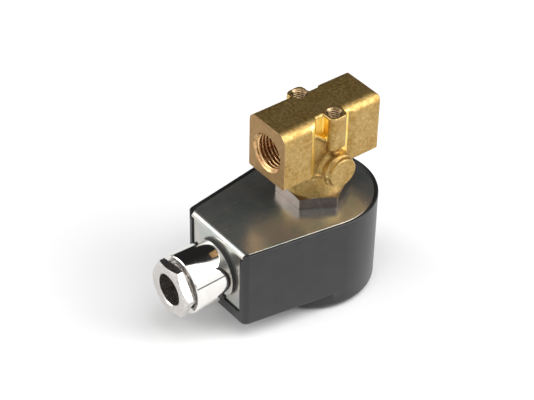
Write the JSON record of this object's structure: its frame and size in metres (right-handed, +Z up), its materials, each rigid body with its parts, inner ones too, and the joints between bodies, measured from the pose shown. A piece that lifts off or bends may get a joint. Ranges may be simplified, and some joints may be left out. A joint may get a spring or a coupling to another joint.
{
  "type": "solenoid valve",
  "caption": "Direct-acting solenoid valve: forged brass body with threaded pipe ports, standing on its black coil housing, which has a metal cable gland at its narrow end.",
  "frame": {"origin": "centre of the brass body's flat top face, on the valve's axis", "axes": "+Z up along the valve's axis and out of the body's top face; X along the flow, with the cable gland at -X; +Y is the side away from the blank round boss"},
  "size_m": [0.0811, 0.0436, 0.0708],
  "materials": {
    "forged_brass": "forged, with machined port faces",
    "clamp_brass": "bright",
    "plated_steel": "zinc plated",
    "bright_zinc": "bright zinc plated sheet",
    "stainless_steel": "turned",
    "spring_steel": "drawn wire",
    "copper": "copper",
    "polished_nickel": "polished nickel plate",
    "black_paint": "satin",
    "black_rubber": "moulded",
    "dark_plastic": "moulded",
    "coil_tape": "film tape"
  },
  "bodies": {
    "valve": {"valve_body": "forged_brass", "body_o_ring": "black_rubber", "tube_hex_flange": "plated_steel", "guide_tube": "stainless_steel", "fixed_core": "stainless_steel", "shading_ring": "copper", "coil_washer": "plated_steel", "coil_nut": "plated_steel"},
    "plunger": {"plunger": "stainless_steel", "plunger_seal": "black_rubber", "plunger_spring": "spring_steel"},
    "coil_housing": {"housing_cup": "black_paint", "front_plate": "bright_zinc", "tube_o_ring": "black_rubber", "coil_bobbin": "dark_plastic", "coil_winding": "copper", "winding_tape": "coil_tape", "coil_lead_a": "copper", "coil_lead_b": "copper", "flux_washer": "plated_steel", "terminal_block": "dark_plastic", "terminal_clamp_a": "clamp_brass", "terminal_clamp_b": "clamp_brass", "terminal_clamp_earth": "clamp_brass", "terminal_screw_a": "plated_steel", "terminal_screw_b": "plated_steel", "terminal_screw_earth": "plated_steel", "earth_screw": "plated_steel", "gland_body": "polished_nickel", "gland_gasket": "black_rubber", "gland_locknut": "polished_nickel", "gland_seal": "black_rubber"},
    "gland_washer": {"gland_slip_washer": "plated_steel"},
    "gland_screw": {"gland_screw": "polished_nickel"}
  },
  "joints": [
    {"name": "plunger_slide", "type": "slide", "parent": "valve", "child": "plunger", "axis": [0, 0, 1], "range_m": [-0.0015, 0], "stiffness_N_per_m": 300, "springref_m": 0.006, "deforming": ["plunger_spring"]},
    {"name": "housing_swivel", "type": "hinge", "parent": "valve", "child": "coil_housing", "pos_m": [0, 0, -0.05], "axis": [0, 0, 1], "continuous": true},
    {"name": "gland_travel", "type": "slide", "parent": "coil_housing", "child": "gland_washer", "axis": [-1, 0, 0], "range_m": [-0.001, 0.005]},
    {"name": "gland_screw_turn", "type": "hinge", "parent": "gland_washer", "child": "gland_screw", "pos_m": [-0.058, 0, -0.049], "axis": [-1, 0, 0], "range_deg": [-240, 1200]}
  ],
  "couplings": [
    {"joint": "gland_travel", "follows": "gland_screw_turn", "m_per_rad": 0.00023873}
  ]
}
